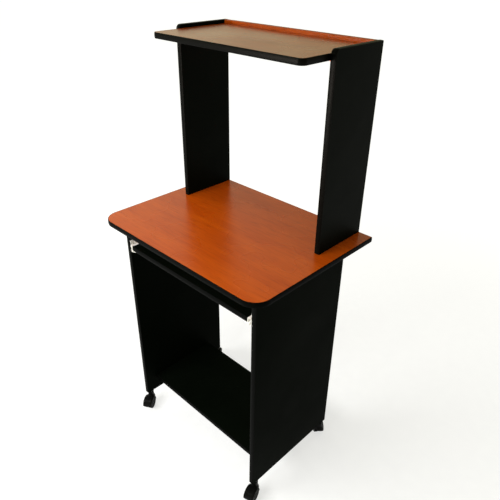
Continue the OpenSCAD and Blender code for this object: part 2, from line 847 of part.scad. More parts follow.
// The moulded hood: a fender over both wheels, a web between them and a neck round the stem
module hood(place) {
    skirt = 3;
    web_rim = 5;
    neck_rise = 11;
    web_r = axle_d / 2 + web_rim;
    neck_foot = wheel_r + neck_rise;
    flare = 4;
    color(caster_black) at_caster(place) difference() {
        union() {
            intersection() {
                at_axle() cylinder(r = hood_r, h = 2 * hood_half, center = true);
                translate([-hood_half, caster_trail - hood_r, wheel_r - skirt])
                    cube([2 * hood_half, 2 * hood_r, hood_r + skirt]);
            }
            at_axle() cylinder(r = web_r, h = hood_web, center = true);
            translate([0, 0, neck_foot]) cylinder(d = neck_d, h = neck_top - neck_foot);
            translate([0, 0, neck_foot]) cylinder(d1 = neck_d + 2 * flare, d2 = neck_d, h = 3 * flare);
        }
        for (side = [0, 1]) mirror([side, 0, 0]) at_axle()
            translate([0, 0, hood_web / 2]) cylinder(r = wheel_r + hood_gap, h = hood_half);
        at_axle() cylinder(d = axle_d + 2 * seat, h = 2 * hood_half, center = true);
        translate([0, 0, neck_top - stem_in_hood - seat])
            cylinder(d = stem_d + 2 * seat, h = stem_in_hood + seat + over);
    }
}

module stem(place) {
    tip = 1.5;
    color(steel) at_caster(place) {
        translate([0, 0, neck_top - stem_in_hood])
            cylinder(d = stem_d, h = caster_h + stem_l - tip - neck_top + stem_in_hood);
        translate([0, 0, caster_h + stem_l - tip]) cylinder(d1 = stem_d, d2 = stem_d - 2 * tip, h = tip);
    }
}

module axle(place) {
    reach = hood_half - hub_recess + pass_gap;
    color(steel) at_caster(place) at_axle() {
        cylinder(d = axle_d, h = 2 * reach, center = true);
        for (side = [0, 1]) mirror([0, 0, side])
            translate([0, 0, reach]) cylinder(d = hub_cap_d, h = hub_cap_t);
    }
}

// One wheel: rounded tread, dished outer face with a recess for the axle's cap, running bore
module wheel(place, side) {
    bore_r = axle_d / 2 + run_fit;
    cap_gap = 1;
    ring_w = 1;
    ring_slope = 1;
    dish = 1.2;
    tread_round = 2.5;
    tread_rim = 4;
    recess_r = hub_cap_d / 2 + cap_gap;
    color(tyre_black) at_caster(place) mirror([side > 0 ? 0 : 1, 0, 0]) at_axle()
        translate([0, 0, hood_web / 2 + wheel_side_gap]) rotate_extrude() polygon([
            [bore_r, 0], [wheel_r - tread_round / 2, 0], [wheel_r, tread_round / 2],
            [wheel_r, wheel_w - tread_round], [wheel_r - tread_round, wheel_w],
            [wheel_r - tread_rim, wheel_w], [wheel_r - tread_rim - ring_slope, wheel_w - dish],
            [recess_r + ring_w + ring_slope, wheel_w - dish], [recess_r + ring_w, wheel_w],
            [recess_r, wheel_w],
            [recess_r, wheel_w - hub_recess], [bore_r, wheel_w - hub_recess]]);
}

desktop();
desktop_band();
left_side_panel();
right_side_panel();
left_panel_band();
right_panel_band();
rear_stretcher();
low_shelf();
low_shelf_band();
left_upright();
right_upright();
left_upright_band();
right_upright_band();
top_shelf();
top_shelf_band();
hutch_rail();
hutch_rail_band();
keyboard_tray();
keyboard_tray_band();
left_cabinet_rail();
right_cabinet_rail();
left_tray_rail();
right_tray_rail();
left_front_roller();
right_front_roller();
left_rear_roller();
right_rear_roller();
cam_bolts();
cam_locks();
dowels();
upright_screws();
cabinet_rail_screws();
tray_rail_screws();
sleeve(front_left_caster);  // front_left_sleeve
hood(front_left_caster);  // front_left_hood
stem(front_left_caster);  // front_left_stem
axle(front_left_caster);  // front_left_axle
wheel(front_left_caster, -1);  // front_left_wheel_a
wheel(front_left_caster, 1);  // front_left_wheel_b
sleeve(front_right_caster);  // front_right_sleeve
hood(front_right_caster);  // front_right_hood
stem(front_right_caster);  // front_right_stem
axle(front_right_caster);  // front_right_axle
wheel(front_right_caster, -1);  // front_right_wheel_a
wheel(front_right_caster, 1);  // front_right_wheel_b
sleeve(rear_left_caster);  // rear_left_sleeve
hood(rear_left_caster);  // rear_left_hood
stem(rear_left_caster);  // rear_left_stem
axle(rear_left_caster);  // rear_left_axle
wheel(rear_left_caster, -1);  // rear_left_wheel_a
wheel(rear_left_caster, 1);  // rear_left_wheel_b
sleeve(rear_right_caster);  // rear_right_sleeve
hood(rear_right_caster);  // rear_right_hood
stem(rear_right_caster);  // rear_right_stem
axle(rear_right_caster);  // rear_right_axle
wheel(rear_right_caster, -1);  // rear_right_wheel_a
wheel(rear_right_caster, 1);  // rear_right_wheel_b
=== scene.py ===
import math

import bmesh
import bpy
from mathutils import Matrix, Vector


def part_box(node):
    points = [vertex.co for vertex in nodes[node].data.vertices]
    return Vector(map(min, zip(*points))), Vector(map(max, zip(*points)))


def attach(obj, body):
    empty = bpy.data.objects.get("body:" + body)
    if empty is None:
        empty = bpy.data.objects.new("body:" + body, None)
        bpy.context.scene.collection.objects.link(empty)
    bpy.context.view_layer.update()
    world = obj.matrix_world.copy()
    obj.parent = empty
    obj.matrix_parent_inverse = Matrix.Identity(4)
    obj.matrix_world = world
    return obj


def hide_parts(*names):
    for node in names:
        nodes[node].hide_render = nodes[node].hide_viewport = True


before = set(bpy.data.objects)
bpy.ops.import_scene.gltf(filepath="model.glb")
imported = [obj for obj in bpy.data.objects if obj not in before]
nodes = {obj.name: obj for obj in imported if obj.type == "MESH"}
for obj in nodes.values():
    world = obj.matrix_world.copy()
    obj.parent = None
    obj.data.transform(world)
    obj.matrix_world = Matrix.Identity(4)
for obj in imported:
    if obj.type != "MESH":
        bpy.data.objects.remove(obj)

# The desk stands alone: the start-up scene's own objects go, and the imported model's box is kept
for stray in ("Cube", "Light", "Camera"):
    if stray in bpy.data.objects:
        bpy.data.objects.remove(bpy.data.objects[stray])
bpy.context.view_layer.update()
MM = 0.001


# Side panels: two boards of chipboard with black laminate on both faces. They stand on the casters
# and carry the desktop, and cam bolts pull the low shelf and the rear stretcher against them.
ALONG_X, ALONG_Z = 0, 2
BLACK_PORE = (0.0005, 0.0010, 0.0005, 1)
BLACK_FACE = (0.0016, 0.0028, 0.0014, 1)
BLACK_RUBBED = (0.0030, 0.0044, 0.0026, 1)
MOST_RUBBED = 0.55
PEBBLE_SHARE = 0.4
LAMINATE_GLOSS = 0.008


def add(tree, kind, **sockets):
    """Puts one node into a material and sets or joins its sockets by name."""
    node = tree.nodes.new(kind)
    for name, value in sockets.items():
        socket = node.inputs[name.replace("_", " ")]
        if isinstance(value, bpy.types.NodeSocket):
            tree.links.new(value, socket)
        else:
            socket.default_value = value
    return node


def spread(tree, factor, *stops, blend="LINEAR"):
    """A colour ramp from (place, colour) stops."""
    node = add(tree, "ShaderNodeValToRGB", Fac=factor)
    ramp = node.color_ramp
    ramp.interpolation = blend
    ramp.elements[0].position, ramp.elements[0].color = stops[0]
    ramp.elements[1].position, ramp.elements[1].color = stops[-1]
    for place, colour in stops[1:-1]:
        ramp.elements.new(place).color = colour
    return node.outputs["Color"]


def grey(value):
    """A colour without hue."""
    return (value, value, value, 1)


def level(tree, factor, low, high):
    """A value that goes from low to high over the middle of a pattern's range."""
    return spread(tree, factor, (0.3, grey(low)), (0.7, grey(high)))


def blended(tree, kind, factor, below, above):
    """Lays one colour over another."""
    node = add(tree, "ShaderNodeMixRGB", Fac=factor, Color1=below, Color2=above)
    node.blend_type = kind
    return node.outputs["Color"]


def new_finish(name, gloss_level):
    """An empty finish, its tree, its shader and the coordinates of the piece that wears it."""
    finish = bpy.data.materials.new(name)
    finish.use_nodes = True
    tree = finish.node_tree
    shader = tree.nodes["Principled BSDF"]
    shader.inputs["Specular IOR Level"].default_value = gloss_level
    place = add(tree, "ShaderNodeTexCoord").outputs["Object"]
    return finish, tree, shader, place


def noise(tree, place, scale, detail, roughness):
    """Cloudy variation, scale counted in features to the metre."""
    return add(tree, "ShaderNodeTexNoise", Vector=place, Scale=scale, Detail=detail,
               Roughness=roughness).outputs["Fac"]


def stretched(tree, place, along, share):
    """Coordinates drawn out along one axis, for grain and brushing."""
    squeeze = [1.0, 1.0, 1.0]
    squeeze[along] = share
    return add(tree, "ShaderNodeMapping", Vector=place, Scale=squeeze).outputs["Vector"]


def join(tree, value, node, socket):
    """Leads a value into one socket of a node."""
    tree.links.new(value, node.inputs[socket])


def raise_grain(tree, shader, height, strength, depth):
    """Relief from a height pattern, depth in metres."""
    bump = add(tree, "ShaderNodeBump", Height=height, Strength=strength, Distance=depth)
    join(tree, bump.outputs["Normal"], shader, "Normal")


def black_laminate(name, along, gloss):
    """Black melamine with short pressed pores that run along the board."""
    finish, tree, shader, place = new_finish(name, gloss)
    lengthwise = stretched(tree, place, along, share=0.08)
    pores = noise(tree, lengthwise, scale=900, detail=2.0, roughness=0.7)
    rubbed = noise(tree, place, scale=5, detail=4.0, roughness=0.6)
    pebble = noise(tree, place, scale=1500, detail=1.0, roughness=0.5)
    face = spread(tree, pores, (0.3, BLACK_PORE), (0.55, BLACK_FACE))
    wear = level(tree, rubbed, low=0.0, high=MOST_RUBBED)
    join(tree, blended(tree, "MIX", wear, face, BLACK_RUBBED), shader, "Base Color")
    join(tree, level(tree, rubbed, low=0.56, high=0.46), shader, "Roughness")
    pressed = blended(tree, "ADD", PEBBLE_SHARE, pores, pebble)
    raise_grain(tree, shader, pressed, strength=0.35, depth=0.12 * MM)
    return finish


black_upright_grain = black_laminate("black_laminate_upright_grain", ALONG_Z, LAMINATE_GLOSS)


def dress(finish, *names):
    """Gives carried-over CAD nodes their finish."""
    for name in names:
        slots = nodes[name].data.materials
        slots.clear()
        slots.append(finish)


dress(black_upright_grain, "left_side_panel", "right_side_panel")


# Edge bands of the panels: extruded black vinyl with a low crown and a barbed spine, knocked into a
# saw kerf down the panel's front edge and trimmed flush at both ends.
BOARD = 15 * MM
CROWN = 2.0 * MM
RIM = 1.1 * MM
RIM_ROUND = 0.55 * MM
SEAT = 0.1 * MM
SPINE_LENGTH = 6.9 * MM
SPINE_HALF = 0.55 * MM
BARB_HALF = 0.78 * MM
BARBS = 4
BARB_STARTS, BARB_ENDS = 0.35, 1.3
CROWN_STEPS = 14
ROUND_STEPS = 4
CORNER_STEPS = 28
SHARP_EDGE = 35


def quarter_turn(steps):
    """Sine and cosine at even steps through a quarter turn, without its start."""
    for step in range(1, steps + 1):
        turn = math.pi / 2 * step / steps
        yield math.sin(turn), math.cos(turn)


def band_section():
    """The band's cross-section as (outward, across the board) points."""
    sag = CROWN - RIM
    half = BOARD / 2

    def crown(across):
        return CROWN - sag * ((across - half) / half) ** 2

    shoulder = crown(RIM_ROUND)
    points = [(SEAT, 0.0), (shoulder - RIM_ROUND, 0.0)]
    for sine, cosine in quarter_turn(ROUND_STEPS):
        points.append((shoulder - RIM_ROUND * (1 - sine), RIM_ROUND * (1 - cosine)))
    for step in range(1, CROWN_STEPS):
        across = RIM_ROUND + (BOARD - 2 * RIM_ROUND) * step / CROWN_STEPS
        points.append((crown(across), across))
    points += [(out, BOARD - across) for out, across in reversed(points[1:ROUND_STEPS + 2])]
    points.append((SEAT, BOARD))
    barb = SPINE_LENGTH / (BARBS + 1)
    upper = [(SEAT, half + SPINE_HALF)]
    for tooth in range(BARBS):
        step_in = -barb * (tooth + BARB_STARTS)
        upper += [(step_in, half + SPINE_HALF), (step_in, half + BARB_HALF)]
        upper.append((-barb * (tooth + BARB_ENDS), half + SPINE_HALF))
    upper.append((-SPINE_LENGTH, half + SPINE_HALF / 2))
    points += upper
    points += [(out, BOARD - across) for out, across in reversed(upper)]
    return points


def edge_line(corners, radius):
    """A board's edge as points with their outward directions, its inner corners rounded."""
    corners = [Vector(corner) for corner in corners]
    runs = [(end - start).normalized() for start, end in zip(corners, corners[1:])]
    outs = [Vector((run.y, -run.x)) for run in runs]
    line = [(corners[0], outs[0])]
    for index, corner in enumerate(corners[1:-1]):
        centre = corner - radius * runs[index] + radius * runs[index + 1]
        for step in range(CORNER_STEPS + 1):
            turn = math.pi / 2 * step / CORNER_STEPS
            out = outs[index] * math.cos(turn) + outs[index + 1] * math.sin(turn)
            line.append((centre + out * radius, out))
    line.append((corners[-1], outs[-1]))
    return line


def shaded(mesh, degrees):
    """Smooth shading with sharp edges where faces meet at more than an angle."""
    mesh.shade_smooth()
    mesh.set_sharp_from_angle(angle=math.radians(degrees))
    return mesh


def to_mesh(build, name):
    """Ends a build as a mesh with its faces turned outward."""
    bmesh.ops.recalc_face_normals(build, faces=build.faces)
    mesh = bpy.data.meshes.new(name)
    build.to_mesh(mesh)
    build.free()
    return mesh


def belt(build, first, second):
    """Joins two rings of vertices with a belt of faces."""
    for i in range(len(first)):
        j = (i + 1) % len(first)
        build.faces.new((first[i], first[j], second[j], second[i]))


SECTION = band_section()


def piece(cad_node, mesh, finish, body, place=None):
    """Shows a mesh in place of a CAD node, as a piece that moves with one body. A mesh that several
    pieces share takes its finish once."""
    made = bpy.data.objects.new(cad_node + "_piece", mesh)
    bpy.context.scene.collection.objects.link(made)
    if place is not None:
        made.matrix_world = place
    if not mesh.materials:
        mesh.materials.append(finish)
    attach(made, body)
    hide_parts(cad_node)


def fit_band(cad_node, line, lay, finish, body="desk"):
    """Carries the band's section along a line of (point, outward) pairs and shows it in place of a
    CAD node. lay turns (u, v, across) into a place on the desk."""
    build = bmesh.new()
    rings = []
    for point, out in line:
        ring = []
        for outward, across in SECTION:
            flat = point + out * outward
            ring.append(build.verts.new(lay(flat.x, flat.y, across)))
        rings.append(ring)
    for first, second in zip(rings, rings[1:]):
        belt(build, first, second)
    build.faces.new(rings[0][::-1])
    build.faces.new(rings[-1])
    mesh = shaded(to_mesh(build, cad_node + "_sweep"), SHARP_EDGE)
    piece(cad_node, mesh, finish, body)


BAND_DEEP = (0.0008, 0.0010, 0.0008, 1)
BAND_FACE = (0.0022, 0.0024, 0.0019, 1)
BAND_GLOSS = 0.012


def black_band_vinyl(name, gloss):
    """Black vinyl with the faint drawn lines of its extrusion."""
    finish, tree, shader, place = new_finish(name, gloss)
    drawn = noise(tree, place, scale=260, detail=3.0, roughness=0.6)
    handled = noise(tree, place, scale=9, detail=4.0, roughness=0.65)
    join(tree, spread(tree, drawn, (0.3, BAND_DEEP), (0.75, BAND_FACE)), shader, "Base Color")
    join(tree, level(tree, handled, low=0.34, high=0.42), shader, "Roughness")
    raise_grain(tree, shader, drawn, strength=0.12, depth=0.06 * MM)
    return finish


black_vinyl = black_band_vinyl("black_vinyl_band", BAND_GLOSS)


def upright_band(name, radius, finish):
    """A band up the front edge of a standing board, and over its top if the radius isn't zero."""
    low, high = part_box(name)
    side = low.x
    front = low.y + CROWN
    if radius:
        top = high.z - CROWN
        corners = [(low.z, front), (top, front), (top, high.y)]
    else:
        corners = [(low.z, front), (high.z, front)]
    fit_band(name, edge_line(corners, radius), lambda z, y, across: (side + across, y, z), finish)


for band in ("left_panel_band", "right_panel_band"):
    upright_band(band, 0, black_vinyl)


# Rear stretcher and low shelf: boards of the same black laminate between the panels. The stretcher
# keeps the frame square, and the shelf has a band of its own along the front edge.
black_level_grain = black_laminate("black_laminate_level_grain", ALONG_X, LAMINATE_GLOSS)
dress(black_level_grain, "rear_stretcher", "low_shelf")


def level_band(name, body="desk"):
    """A straight band along the front edge of a level board."""
    low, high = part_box(name)
    front = low.y + CROWN
    fit_band(name, edge_line([(low.x, front), (high.x, front)], 0),
             lambda x, y, across: (x, y, low.z + across), black_vinyl, body)


level_band("low_shelf_band")


# Joinery: steel cam bolts in one board, cast zinc cam locks in the next, and fluted beech dowels
# beside them, with long steel screws up into the uprights. Once the boards are drawn together, only
# the locks' faces and the screws' heads show.
ZINC_DULL = (0.22, 0.22, 0.23, 1)
ZINC_BRIGHT = (0.46, 0.46, 0.47, 1)
cast_zinc, tree, shader, place = new_finish("cast_zinc", gloss_level=0.5)
skin = noise(tree, place, scale=700, detail=5.0, roughness=0.7)
join(tree, spread(tree, skin, (0.35, ZINC_DULL), (0.7, ZINC_BRIGHT)), shader, "Base Color")
join(tree, level(tree, skin, low=0.62, high=0.42), shader, "Roughness")
shader.inputs["Metallic"].default_value = 1.0
raise_grain(tree, shader, skin, strength=0.3, depth=0.1 * MM)

STEEL_DULL = (0.38, 0.38, 0.39, 1)
STEEL_BRIGHT = (0.66, 0.66, 0.67, 1)
plated_steel, tree, shader, place = new_finish("plated_steel", gloss_level=0.5)
round_the_shank = stretched(tree, place, ALONG_Z, share=12.0)
turned = noise(tree, round_the_shank, scale=300, detail=4.0, roughness=0.6)
join(tree, spread(tree, turned, (0.3, STEEL_DULL), (0.7, STEEL_BRIGHT)), shader, "Base Color")
join(tree, level(tree, turned, low=0.42, high=0.26), shader, "Roughness")
shader.inputs["Metallic"].default_value = 1.0
raise_grain(tree, shader, turned, strength=0.15, depth=0.05 * MM)

BEECH_DARK = (0.36, 0.21, 0.10, 1)
BEECH_LIGHT = (0.58, 0.39, 0.21, 1)
beech, tree, shader, place = new_finish("beech", gloss_level=0.3)
along_the_pin = stretched(tree, place, ALONG_X, share=0.12)
fleck = noise(tree, along_the_pin, scale=600, detail=4.0, roughness=0.6)
join(tree, spread(tree, fleck, (0.3, BEECH_DARK), (0.7, BEECH_LIGHT)), shader, "Base Color")
join(tree, level(tree, fleck, low=0.7, high=0.55), shader, "Roughness")
raise_grain(tree, shader, fleck, strength=0.3, depth=0.1 * MM)

dress(cast_zinc, "cam_locks")
dress(plated_steel, "cam_bolts", "upright_screws")
dress(beech, "dowels")


# Desktop: chipboard under a satin laminate printed with cherry grain that runs across the desk. It
# lies on the panels, with both front corners cut to a large radius.
CHERRY_DEEP = (0.44, 0.053, 0.0013, 1)
CHERRY_MID = (0.58, 0.086, 0.0023, 1)
CHERRY_PALE = (0.71, 0.124, 0.0044, 1)
CHERRY_LINE = (0.27, 0.028, 0.0009, 1)
CHERRY_TONES = ((0.20, CHERRY_DEEP), (0.50, CHERRY_MID), (0.80, CHERRY_PALE))
STREAK_SHARE = 0.50
PORE_SHADE = 0.75
CHERRY_GLOSS = 0.64
DESK_CORNER = 47 * MM


def cherry_print(tree, place):
    """The printed grain: soft clouds, straight streaks and fine dark pores, all along the board."""
    broad = stretched(tree, place, ALONG_X, share=0.30)
    long = stretched(tree, place, ALONG_X, share=0.035)
    short = stretched(tree, place, ALONG_X, share=0.05)
    cloud = noise(tree, broad, scale=22, detail=3.0, roughness=0.5)
    streak = noise(tree, long, scale=120, detail=4.0, roughness=0.62)
    pore = noise(tree, short, scale=520, detail=2.0, roughness=0.55)
    tone = spread(tree, cloud, *CHERRY_TONES, blend="B_SPLINE")
    stripes = spread(tree, streak, *CHERRY_TONES, blend="B_SPLINE")
    striped = blended(tree, "MIX", STREAK_SHARE, tone, stripes)
    open_pores = spread(tree, pore, (0.50, grey(0)), (0.86, grey(PORE_SHADE)), blend="EASE")
    return blended(tree, "MIX", open_pores, striped, CHERRY_LINE), pore


cherry, tree, shader, place = new_finish("cherry_laminate", CHERRY_GLOSS)
grain, pore = cherry_print(tree, place)
join(tree, grain, shader, "Base Color")
wiped = noise(tree, place, scale=7, detail=2.0, roughness=0.5)
join(tree, level(tree, wiped, low=0.24, high=0.30), shader, "Roughness")
raise_grain(tree, shader, pore, strength=0.08, depth=0.05 * MM)
dress(cherry, "desktop")


def wrapping_band(name, radius, finish):
    """A band round the front and both sides of a level board."""
    low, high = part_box(name)
    half = high.x - CROWN
    front = low.y + CROWN
    corners = [(-half, high.y), (-half, front), (half, front), (half, high.y)]
    fit_band(name, edge_line(corners, radius - CROWN),
             lambda x, y, across: (x, y, low.z + across), finish)


wrapping_band("desktop_band", DESK_CORNER, black_vinyl)


# Uprights: two narrower black boards that stand on the desktop, screwed from below. Their band goes
# up the front, round a small corner and back along the top. The hutch's boards and bands have more
# gloss than the same finishes below: painted light, to brighten their highlights over the frame's.
UPRIGHT_CORNER = 12 * MM
HUTCH_PAINTED_LIGHT_GLOSS = 0.02
HUTCH_BAND_PAINTED_LIGHT_GLOSS = 0.036
# The hutch bands' reflections are tinted warm: painted light, standing in for a warm lamp.
PAINTED_WARM_GLOSS = (1.0, 0.86, 0.74, 1)
hutch_grain = black_laminate("black_laminate_hutch", ALONG_Z, HUTCH_PAINTED_LIGHT_GLOSS)
hutch_vinyl = black_band_vinyl("black_vinyl_hutch_band", HUTCH_BAND_PAINTED_LIGHT_GLOSS)
hutch_vinyl.node_tree.nodes["Principled BSDF"].inputs["Specular Tint"].default_value = PAINTED_WARM_GLOSS
dress(hutch_grain, "left_upright", "right_upright")
for band in ("left_upright_band", "right_upright_band"):
    upright_band(band, UPRIGHT_CORNER - CROWN, hutch_vinyl)


# Top shelf and hutch rail: the shelf is held between the uprights and stands out in front of them,
# and the rail on edge behind it stops things from sliding off the back. The rail's band is printed
# in the colour of the board.
SHELF_CORNER = 15 * MM
dress(cherry, "top_shelf", "hutch_rail")
wrapping_band("top_shelf_band", SHELF_CORNER, hutch_vinyl)

cherry_vinyl, tree, shader, place = new_finish("cherry_vinyl_band", gloss_level=0.4)
join(tree, cherry_print(tree, place)[0], shader, "Base Color")
rubbed = noise(tree, place, scale=12, detail=3.0, roughness=0.6)
join(tree, level(tree, rubbed, low=0.34, high=0.46), shader, "Roughness")
raise_grain(tree, shader, rubbed, strength=0.1, depth=0.08 * MM)

low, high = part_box("hutch_rail_band")
rail_top = high.z - CROWN
rail_front = low.y
fit_band("hutch_rail_band", edge_line([(high.x, rail_top), (low.x, rail_top)], 0),
         lambda x, z, across: (x, rail_front + across, z), cherry_vinyl)


# Tray rails: rolled steel with a white baked coating. One rail of each pair is screwed to a panel
# and the other under the tray, and each has a nylon roller on a riveted stud.
COAT_SHADE = (0.76, 0.74, 0.70, 1)
COAT_FACE = (0.90, 0.88, 0.84, 1)
baked_white, tree, shader, place = new_finish("baked_white", gloss_level=0.5)
peel = noise(tree, place, scale=1100, detail=2.0, roughness=0.5)
dust = noise(tree, place, scale=40, detail=4.0, roughness=0.6)
join(tree, spread(tree, dust, (0.28, COAT_SHADE), (0.55, COAT_FACE)), shader, "Base Color")
join(tree, level(tree, dust, low=0.42, high=0.30), shader, "Roughness")
raise_grain(tree, shader, peel, strength=0.25, depth=0.1 * MM)

NYLON_WORN = (0.60, 0.58, 0.52, 1)
NYLON_CLEAN = (0.80, 0.79, 0.75, 1)
NYLON_MILKY = 0.15
NYLON_DEPTH = (2.0 * MM, 2.0 * MM, 1.8 * MM)
white_nylon, tree, shader, place = new_finish("white_nylon", gloss_level=0.5)
scuff = noise(tree, place, scale=420, detail=4.0, roughness=0.65)
join(tree, spread(tree, scuff, (0.3, NYLON_WORN), (0.6, NYLON_CLEAN)), shader, "Base Color")
join(tree, level(tree, scuff, low=0.5, high=0.34), shader, "Roughness")
shader.inputs["Subsurface Weight"].default_value = NYLON_MILKY
shader.inputs["Subsurface Radius"].default_value = NYLON_DEPTH
raise_grain(tree, shader, scuff, strength=0.2, depth=0.08 * MM)

for side in ("left_", "right_"):
    dress(baked_white, side + "cabinet_rail", side + "tray_rail")
    dress(white_nylon, side + "front_roller", side + "rear_roller")
dress(plated_steel, "cabinet_rail_screws", "tray_rail_screws")


# Keyboard tray: a black laminated board with a vinyl band along its front edge. It hangs on the
# tray rails and is drawn out from under the desktop.
dress(black_level_grain, "keyboard_tray")
level_band("keyboard_tray_band", "tray")


# Casters: twin-wheel furniture casters. A steel stem turns in a sleeve pressed into the panel's
# lower edge, and a moulded hood carries the axle behind the stem, with a wheel on each side of its
# web.
WHEEL_R = 20 * MM
WHEEL_W = 12 * MM
WEB = 6 * MM
SIDE_GAP = 0.5 * MM
HOOD_GAP = 1.5 * MM
HOOD_WALL = 2 * MM
HOOD_R = WHEEL_R + HOOD_GAP + HOOD_WALL
HOOD_HALF = WEB / 2 + SIDE_GAP + WHEEL_W
HOOD_SHOULDER = 2.6 * MM
HOOD_SHOULDER_STEPS = 6
TRAIL = 18 * MM
SKIRT = 3 * MM
NECK_R = 10 * MM
NECK_FOOT = 31 * MM
NECK_FLARE = 4 * MM
NECK_FLARE_TOP = NECK_FOOT + 3 * NECK_FLARE
NECK_TOP = 59.2 * MM
HUB_R = 7.5 * MM
HUB_STEPS = 48
LATHE_STEPS = 96
FUSE_GRAIN = 0.7 * MM
FILLET_SHARE = 0.5
FILLET_PASSES = 7
CUT_PAST = 3 * MM
HOOD_SHARP_EDGE = 38


def turned_rings(build, section, steps, lay):
    """Turns (radius, along) points about an axis and gives each ring of vertices with the next; lay
    puts each point in its place."""
    rings = []
    for step in range(steps):
        angle = 2 * math.pi * step / steps
        across, up = math.cos(angle), math.sin(angle)
        rings.append([build.verts.new(lay(radius * across, radius * up, along))
                      for radius, along in section])
    return zip(rings, rings[1:] + rings[:1])


def lathed(build, section, steps, lay):
    """A hollow turning, from a closed section."""
    for first, second in turned_rings(build, section, steps, lay):
        belt(build, first, second)


def capped(build, section, steps, lay):
    """A solid turning, from a section whose two ends lie on the axis."""
    bottom, top = [build.verts.new(lay(0, 0, along)) for _, along in (section[0], section[-1])]
    for first, second in turned_rings(build, section[1:-1], steps, lay):
        build.faces.new((bottom, first[0], second[0]))
        for i in range(len(first) - 1):
            build.faces.new((first[i], first[i + 1], second[i + 1], second[i]))
        build.faces.new((first[-1], top, second[-1]))


def drum(build, radius, low, high, steps, lay):
    """A plain solid cylinder between two places on its axis."""
    capped(build, [(0, low), (radius, low), (radius, high), (0, high)], steps, lay)


def about_stem(a, b, along):
    """A caster's own frame: the stem stands on its origin, and Y goes from the stem to the axle."""
    return (a, b, along)


def about_axle(a, b, along):
    """The same frame, for what is turned about the axle."""
    return (along, TRAIL + a, WHEEL_R + b)


def scratch(name, mesh):
    """An object that is there only while a mesh is worked out."""
    made = bpy.data.objects.new(name, mesh)
    bpy.context.scene.collection.objects.link(made)
    return made


def hood_mesh():
    """The hood as moulded: the body, the web's hub and the neck run into one another with small
    fillets, and the two wheel wells are cut out of it."""
    build = bmesh.new()
    body = [(0, -HOOD_HALF), (HOOD_R - HOOD_SHOULDER, -HOOD_HALF)]
    for sine, cosine in quarter_turn(HOOD_SHOULDER_STEPS):
        body.append((HOOD_R - HOOD_SHOULDER * (1 - sine),
                     -HOOD_HALF + HOOD_SHOULDER * (1 - cosine)))
    body += [(radius, -along) for radius, along in reversed(body)]
    capped(build, body, LATHE_STEPS, about_axle)
    cut = bmesh.ops.bisect_plane(build, geom=build.verts[:] + build.edges[:] + build.faces[:],
                                 plane_co=(0, 0, WHEEL_R - SKIRT), plane_no=(0, 0, -1),
                                 clear_outer=True)
    rim = [part for part in cut["geom_cut"] if isinstance(part, bmesh.types.BMEdge)]
    bmesh.ops.edgeloop_fill(build, edges=rim)
    drum(build, HUB_R, -WEB / 2, WEB / 2, HUB_STEPS, about_axle)
    neck = [(0, NECK_FOOT), (NECK_R + NECK_FLARE, NECK_FOOT), (NECK_R, NECK_FLARE_TOP),
            (NECK_R, NECK_TOP), (0, NECK_TOP)]
    capped(build, neck, LATHE_STEPS, about_stem)
    blank = scratch("hood_blank", to_mesh(build, "hood_blank"))
    fuse = blank.modifiers.new("fuse", "REMESH")
    fuse.mode = "VOXEL"
    fuse.voxel_size = FUSE_GRAIN
    soften = blank.modifiers.new("soften", "SMOOTH")
    soften.factor = FILLET_SHARE
    soften.iterations = FILLET_PASSES
    build = bmesh.new()
    for side in (-1, 1):
        drum(build, WHEEL_R + HOOD_GAP, side * WEB / 2, side * (HOOD_HALF + CUT_PAST), LATHE_STEPS,
             about_axle)
    wells = scratch("wheel_wells", to_mesh(build, "wheel_wells"))
    cut_wells = blank.modifiers.new("cut_wells", "BOOLEAN")
    cut_wells.operation = "DIFFERENCE"
    cut_wells.object = wells
    bpy.context.view_layer.update()
    worked = blank.evaluated_get(bpy.context.evaluated_depsgraph_get())
    made = bpy.data.meshes.new_from_object(worked)
    made.name = "caster_hood"
    for tool in (blank, wells):
        bpy.data.objects.remove(tool)
    return shaded(made, HOOD_SHARP_EDGE)


BORE_R = 2.55 * MM
INNER_EDGE = 1.4 * MM
INNER_ROUND = 1.3 * MM
INNER_STEPS = 4
TREAD_START = 3.4 * MM
TREAD_SHOULDER = 2.5 * MM
TREAD_EASE = 1.4 * MM
TREAD_END = WHEEL_W - TREAD_SHOULDER - TREAD_EASE
TREAD_STEPS = 7
# Radius and depth below the outer face, in millimetres: rim, dish and hub
FACE_TURNING = ((16.4, 0), (16.0, 0.15), (15.4, 0.9), (14.8, 1.2),
                (7.9, 1.2), (7.2, 0.9), (6.6, 0.2), (6.1, 0))
RECESS_R = 5 * MM
RECESS_DEEP = 2.5 * MM
RECESS_CHAMFER = 0.3 * MM
WHEEL_SHARP_EDGE = 40


def wheel_mesh(side):
    """One wheel: a tread with rounded shoulders, a dished face with a raised rim and hub, and a
    recess for the axle's riveted end."""
    inner = WEB / 2 + SIDE_GAP
    section = [(BORE_R, 0), (WHEEL_R - INNER_EDGE, 0)]
    for sine, cosine in quarter_turn(INNER_STEPS):
        section.append((WHEEL_R - INNER_EDGE + INNER_ROUND * sine, INNER_ROUND * (1 - cosine)))
    section += [(WHEEL_R, TREAD_START), (WHEEL_R, TREAD_END)]
    for sine, cosine in quarter_turn(TREAD_STEPS):
        section.append((WHEEL_R - TREAD_SHOULDER * (1 - cosine),
                        WHEEL_W - TREAD_SHOULDER * (1 - sine)))
    section += [(radius * MM, WHEEL_W - deep * MM) for radius, deep in FACE_TURNING]
    section += [(RECESS_R + RECESS_CHAMFER, WHEEL_W), (RECESS_R, WHEEL_W - RECESS_CHAMFER),
                (RECESS_R, WHEEL_W - RECESS_DEEP), (BORE_R, WHEEL_W - RECESS_DEEP)]
    placed = [(radius, side * (inner + along)) for radius, along in section]
    build = bmesh.new()
    lathed(build, placed, LATHE_STEPS, about_axle)
    return shaded(to_mesh(build, "caster_wheel"), WHEEL_SHARP_EDGE)


